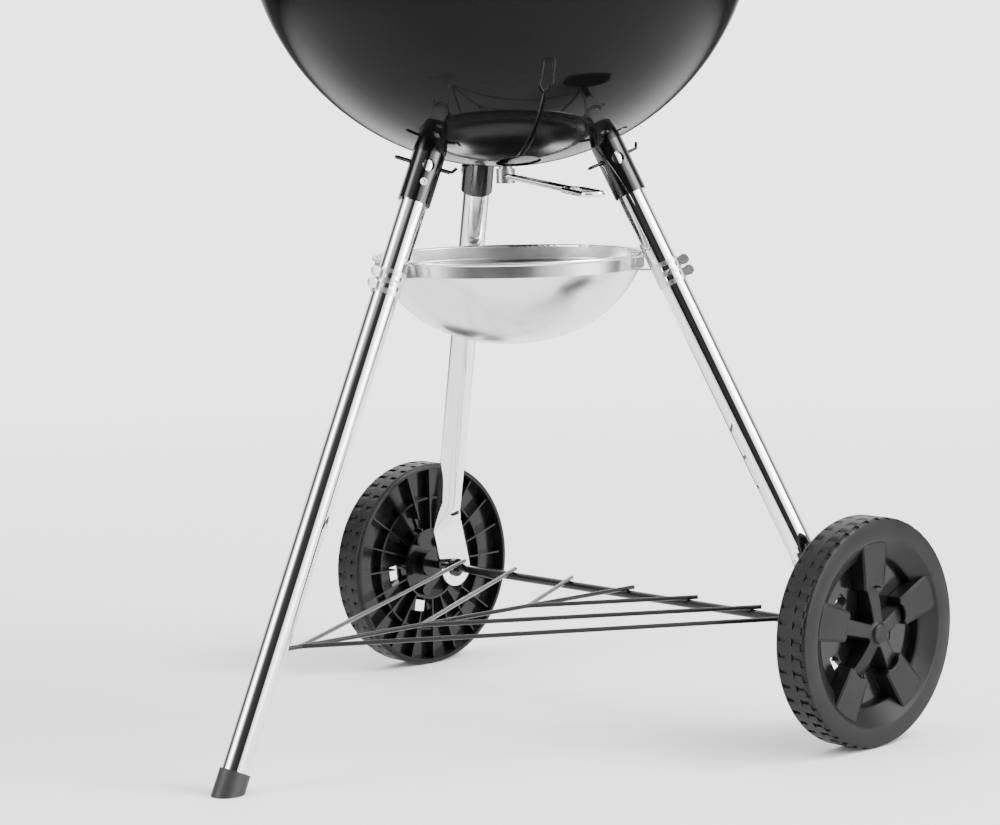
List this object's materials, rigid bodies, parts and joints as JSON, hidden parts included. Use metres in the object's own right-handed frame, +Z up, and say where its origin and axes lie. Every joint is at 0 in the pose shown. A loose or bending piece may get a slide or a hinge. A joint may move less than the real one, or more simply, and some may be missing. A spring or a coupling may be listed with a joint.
{
  "type": "kettle charcoal grill",
  "caption": "Kettle charcoal grill: domed lid and deep bowl on splayed tube legs with an axle, wheels, wire rack, ash pan and a lever that sweeps the bottom vents.",
  "frame": {"origin": "under the middle of the whole object's bounding box, on the floor", "axes": "+Z up, -Y the front that the sweep lever points to, +X to the right as seen from the front; the bowl's own axis is vertical at x -0.02965, y -0.0742"},
  "size_m": [0.6741, 0.6252, 0.9883],
  "materials": {
    "chromed_tube": "polished, slightly soft reflections",
    "black_enamel": "very glossy vitreous enamel",
    "bright_steel": "bright, fine grain",
    "black_wire": "semi-gloss black coating",
    "grate_wire": "nickel-plated wire",
    "spun_aluminium": "satin, spun",
    "sweeper_steel": "aluminised sheet, dull",
    "wheel_plastic": "dark grey, fine mould texture",
    "wheel_core_plastic": "gloss black",
    "cap_plastic": "dark grey",
    "grip_nylon": "glass-filled, satin black"
  },
  "bodies": {
    "stand": {"bowl": "black_enamel", "cooking_grate_tabs": "black_enamel", "charcoal_grate_tabs": "black_enamel", "leg_socket_foot": "black_enamel", "leg_socket_near": "black_enamel", "leg_socket_back": "black_enamel", "leg_clips": "black_wire", "leg_rivets": "bright_steel", "leg_foot": "chromed_tube", "foot_cap": "cap_plastic", "leg_wheel_near": "chromed_tube", "leg_wheel_back": "chromed_tube", "axle": "black_wire", "axle_washers": "black_wire", "rack_wires": "black_wire", "rack_spine": "black_wire", "ash_pan": "spun_aluminium", "pan_clamp_foot": "bright_steel", "pan_clamp_near": "bright_steel", "pan_clamp_back": "bright_steel", "side_handle_bail_right": "black_wire", "side_handle_bail_left": "black_wire", "side_handle_grip_right": "grip_nylon", "side_handle_grip_left": "grip_nylon"},
    "lid": {"lid_shell": "black_enamel", "damper_rivet": "bright_steel", "lid_handle_bail": "black_wire", "lid_handle_grip": "grip_nylon", "lid_handle_shield": "bright_steel", "lid_screws": "bright_steel"},
    "damper": {"lid_damper": "spun_aluminium"},
    "sweeper": {"sweeper_blades": "sweeper_steel", "sweeper_shaft": "bright_steel", "sweep_lever": "chromed_tube"},
    "wheel_near": {"wheel_near_rim": "wheel_plastic", "wheel_near_core": "wheel_core_plastic", "wheel_near_spokes": "wheel_plastic"},
    "wheel_back": {"wheel_back_rim": "wheel_plastic", "wheel_back_core": "wheel_core_plastic", "wheel_back_spokes": "wheel_plastic"},
    "cooking_grate": {"cooking_grate": "grate_wire", "cooking_grate_hoop": "grate_wire", "grate_handle_right": "grate_wire", "grate_handle_left": "grate_wire"},
    "charcoal_grate": {"charcoal_grate": "grate_wire", "charcoal_grate_hoop": "grate_wire"}
  },
  "joints": [
    {"name": "lever_turn", "type": "hinge", "parent": "stand", "child": "sweeper", "pos_m": [-0.02965, -0.0742, 0.502], "axis": [0, 0, 1], "range_deg": [-40, 40]},
    {"name": "near_wheel_spin", "type": "hinge", "parent": "stand", "child": "wheel_near", "pos_m": [0.24242, -0.24864, 0.1016], "axis": [-0.5, 0.866, 0], "continuous": true},
    {"name": "back_wheel_spin", "type": "hinge", "parent": "stand", "child": "wheel_back", "pos_m": [-0.04468, 0.24864, 0.1016], "axis": [-0.5, 0.866, 0], "continuous": true},
    {"name": "lid_lift", "type": "slide", "parent": "stand", "child": "lid", "axis": [0, 0, 1], "range_m": [0, 0.3]},
    {"name": "damper_turn", "type": "hinge", "parent": "lid", "child": "damper", "pos_m": [-0.02965, -0.21899, 0.88603], "axis": [0, -0.5592, 0.829], "range_deg": [-45, 45]},
    {"name": "cooking_grate_lift", "type": "slide", "parent": "stand", "child": "cooking_grate", "axis": [0, 0, 1], "range_m": [0, 0.15]},
    {"name": "charcoal_grate_lift", "type": "slide", "parent": "stand", "child": "charcoal_grate", "axis": [0, 0, 1], "range_m": [0, 0.06]}
  ],
  "couplings": [
    {"joint": "cooking_grate_lift", "follows": "lid_lift", "ratio": 0.5},
    {"joint": "charcoal_grate_lift", "follows": "lid_lift", "ratio": 0.2}
  ]
}
